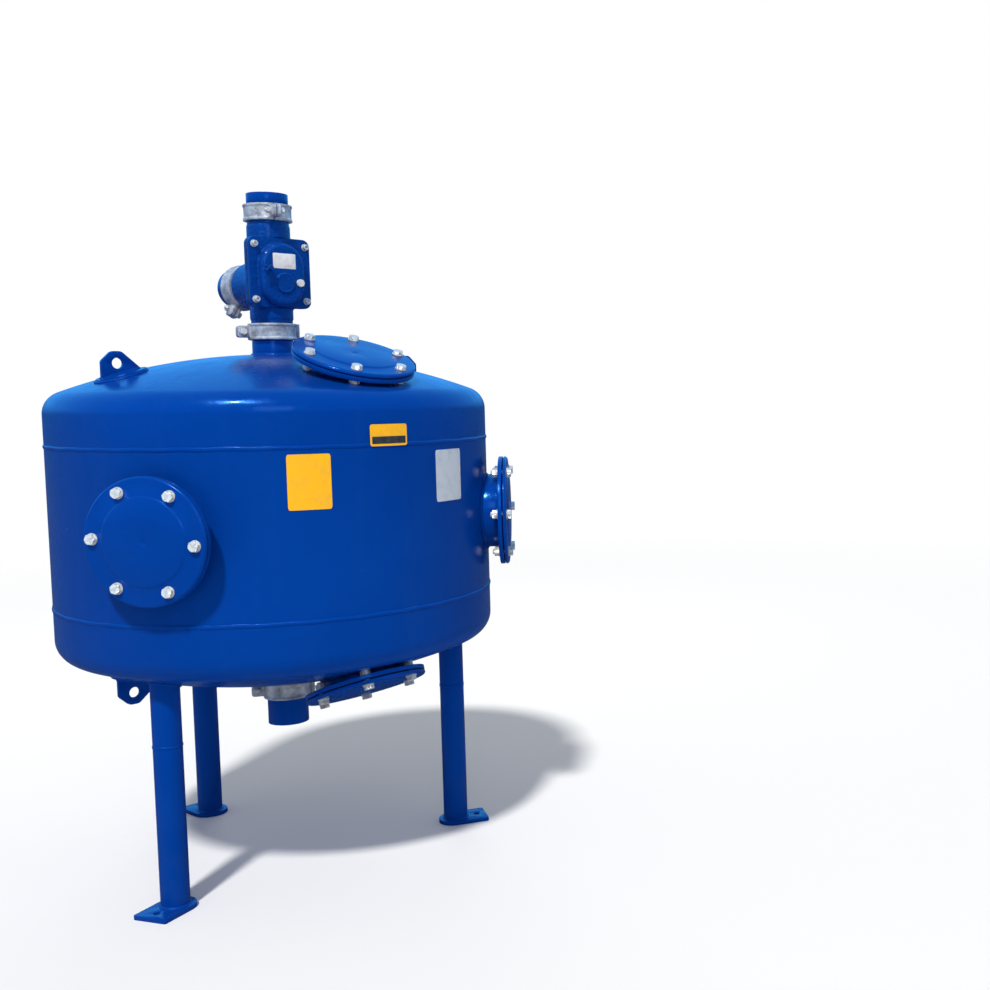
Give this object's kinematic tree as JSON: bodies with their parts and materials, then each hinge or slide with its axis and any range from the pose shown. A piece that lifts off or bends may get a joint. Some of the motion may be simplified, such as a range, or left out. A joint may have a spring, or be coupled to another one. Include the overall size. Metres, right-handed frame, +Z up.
{
  "type": "sand media filter",
  "caption": "Upright sand media filter: dished steel tank on three pipe legs with bolted hatches, lifting lugs and a three-way backwash valve.",
  "frame": {"origin": "on the floor under the tank's vertical axis", "axes": "+Z up along the tank's axis, -Y the valve cover's and end hatches' side, +X to the right seen from the front"},
  "size_m": [1.2464, 1.2, 1.9303],
  "materials": {
    "blue_enamel": "glossy",
    "blue_casting": "satin",
    "cast_alloy": "satin",
    "bronze": "satin",
    "stainless": "satin",
    "black_rubber": "matte",
    "black_plastic": "matte",
    "white_plastic": "matte",
    "sand": "matte"
  },
  "bodies": {
    "vessel": {"tank_shell": "blue_enamel", "upper_head": "blue_enamel", "lower_head": "blue_enamel", "inlet_neck": "blue_enamel", "outlet_neck": "blue_enamel", "inlet_stub": "blue_enamel", "drain_stub": "blue_enamel", "outlet_stub": "blue_enamel", "top_hatch_neck": "blue_enamel", "top_hatch_flange": "blue_enamel", "top_hatch_gasket": "black_rubber", "top_hatch_cover": "blue_enamel", "bottom_hatch_neck": "blue_enamel", "bottom_hatch_flange": "blue_enamel", "bottom_hatch_gasket": "black_rubber", "bottom_hatch_cover": "blue_enamel", "front_hatch_neck": "blue_enamel", "front_hatch_flange": "blue_enamel", "front_hatch_gasket": "black_rubber", "front_hatch_cover": "blue_enamel", "side_hatch_neck": "blue_enamel", "side_hatch_flange": "blue_enamel", "side_hatch_gasket": "black_rubber", "side_hatch_cover": "blue_enamel", "rear_leg": "blue_enamel", "rear_foot_plate": "blue_enamel", "left_leg": "blue_enamel", "left_foot_plate": "blue_enamel", "right_leg": "blue_enamel", "right_foot_plate": "blue_enamel", "upper_lug_left": "blue_enamel", "upper_lug_right": "blue_enamel", "lower_lug_left": "blue_enamel", "lower_lug_right": "blue_enamel", "nozzle_plate": "stainless", "sand_bed": "sand", "inlet_diffuser": "stainless", "valve_body": "blue_casting", "valve_cover": "blue_casting", "cover_gasket": "black_rubber", "control_fitting": "blue_casting", "vent_plug": "white_plastic", "supply_seat": "bronze", "tank_coupling_a": "cast_alloy", "tank_coupling_b": "cast_alloy", "tank_coupling_gasket": "black_rubber", "supply_coupling_a": "cast_alloy", "supply_coupling_b": "cast_alloy", "supply_coupling_gasket": "black_rubber", "outlet_coupling_a": "cast_alloy", "outlet_coupling_b": "cast_alloy", "outlet_coupling_gasket": "black_rubber", "drain_coupling_a": "cast_alloy", "drain_coupling_b": "cast_alloy", "drain_coupling_gasket": "black_rubber"},
    "plunger": {"plunger_stem": "stainless", "piston": "black_plastic", "piston_seal": "black_rubber", "supply_disc": "black_rubber", "drain_disc": "black_rubber"}
  },
  "joints": [
    {"name": "plunger_slide", "type": "slide", "parent": "vessel", "child": "plunger", "axis": [0, 1, 0], "range_m": [0, 0.028]}
  ]
}
